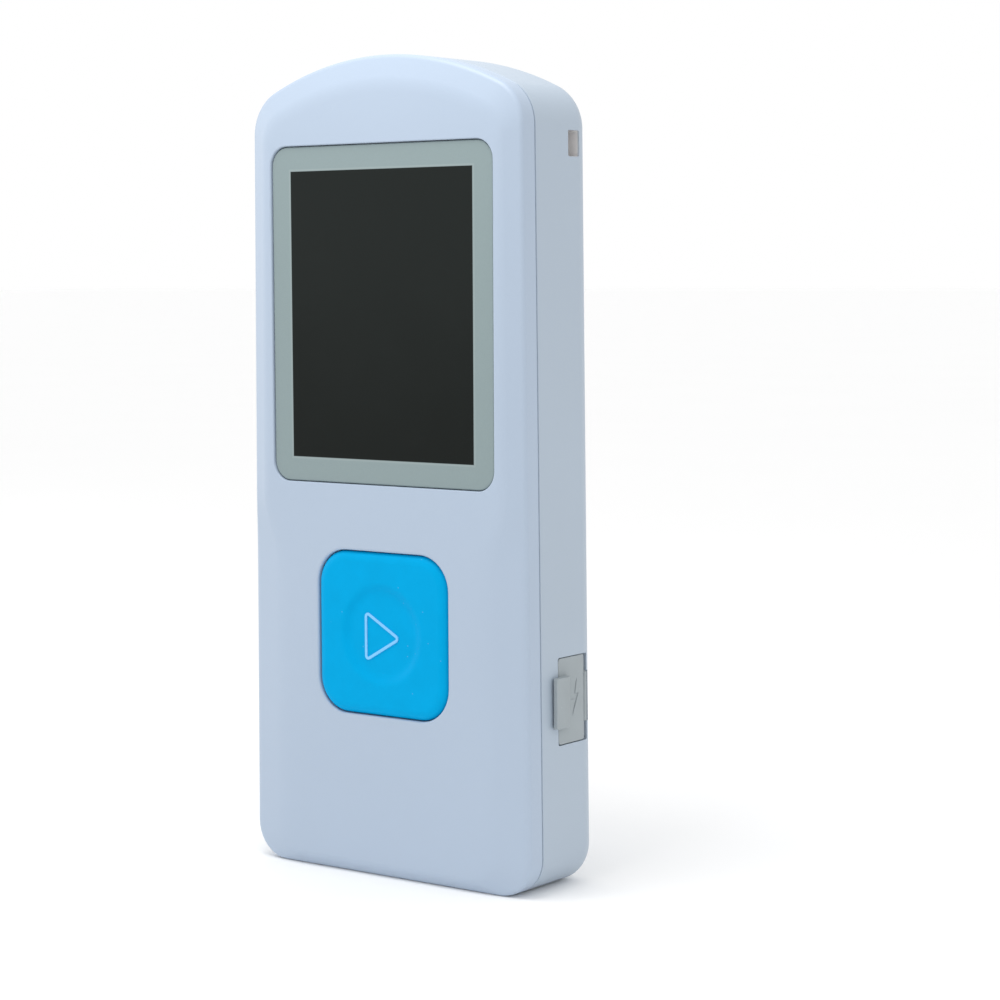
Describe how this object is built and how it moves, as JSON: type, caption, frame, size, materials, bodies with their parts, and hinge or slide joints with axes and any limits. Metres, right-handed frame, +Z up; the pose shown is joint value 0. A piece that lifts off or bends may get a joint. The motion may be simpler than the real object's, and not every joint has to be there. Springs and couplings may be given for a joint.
{
  "type": "microchip scanner",
  "caption": "Pocket animal microchip scanner: upright two-part housing with display window, one scan button, rubber-covered charging port and strap slot.",
  "frame": {"origin": "on the base, in the middle of the body's width and thickness, where it stands upright", "axes": "+X to the right across the front, +Y from the front face to the back, +Z up from the base to the crown"},
  "size_m": [0.0437, 0.0152, 0.1],
  "materials": {
    "front_shell": "satin moulded ABS, fine texture",
    "rear_shell": "satin moulded ABS, fine texture",
    "lens": "clear acrylic with a grey printed border",
    "black_tape": "double-sided foam tape",
    "black_foam": "closed-cell foam",
    "sheet_steel": "folded tinplate",
    "panel_glass": "dark polarised glass",
    "light_guide": "white diffuser",
    "polyimide": "amber film",
    "ivory_nylon": "ivory nylon",
    "button_rubber": "soft-touch silicone, satin",
    "symbol_print": "pale translucent inlay",
    "black_nylon": "glass-filled nylon",
    "spring_steel": "polished spring steel",
    "board_green": "solder resist over glass epoxy",
    "black_epoxy": "moulded epoxy",
    "ceramic_tan": "fired ceramic with tinned ends",
    "can_metal": "drawn steel can",
    "gold_plate": "gold flash",
    "port_rubber": "grey silicone",
    "cell_foil": "laminated foil pouch",
    "white_foam": "adhesive foam",
    "lead_insulation": "silicone insulation",
    "enamelled_copper": "enamelled copper wire",
    "screw_steel": "zinc-plated steel",
    "label_film": "blank polyester film"
  },
  "bodies": {
    "housing": {"front_cover": "front_shell", "rear_cover": "rear_shell", "display_lens": "lens", "lens_tape": "black_tape", "display_gasket": "black_foam", "display_frame": "sheet_steel", "display_glass": "panel_glass", "display_backlight": "light_guide", "display_spacer": "black_foam", "display_flex": "polyimide", "flex_connector": "ivory_nylon", "switch_base": "black_nylon", "switch_cover": "sheet_steel", "switch_dome": "spring_steel", "main_board": "board_green", "board_chips": "black_epoxy", "board_passives": "ceramic_tan", "crystal": "can_metal", "usb_shell": "can_metal", "usb_tongue": "black_nylon", "usb_contacts": "gold_plate", "port_cover_anchor": "port_rubber", "battery": "cell_foil", "battery_pad": "white_foam", "battery_leads": "lead_insulation", "battery_plug": "ivory_nylon", "battery_header": "ivory_nylon", "coil_former": "black_nylon", "antenna_coil": "enamelled_copper", "antenna_leads": "enamelled_copper", "buzzer": "black_nylon", "buzzer_gasket": "black_foam", "case_screws": "screw_steel", "rear_label": "label_film"},
    "button": {"scan_button": "button_rubber", "scan_symbol": "symbol_print", "switch_plunger": "ivory_nylon"},
    "port_flap": {"port_cover": "port_rubber"}
  },
  "joints": [
    {"name": "button_press", "type": "slide", "parent": "housing", "child": "button", "axis": [0, 1, 0], "range_m": [0, 0.00025], "stiffness_N_per_m": 3000},
    {"name": "port_cover_swing", "type": "hinge", "parent": "housing", "child": "port_flap", "pos_m": [0.02099, 0.00545, 0.0229], "axis": [0, 0, 1], "range_deg": [0, 110]}
  ]
}
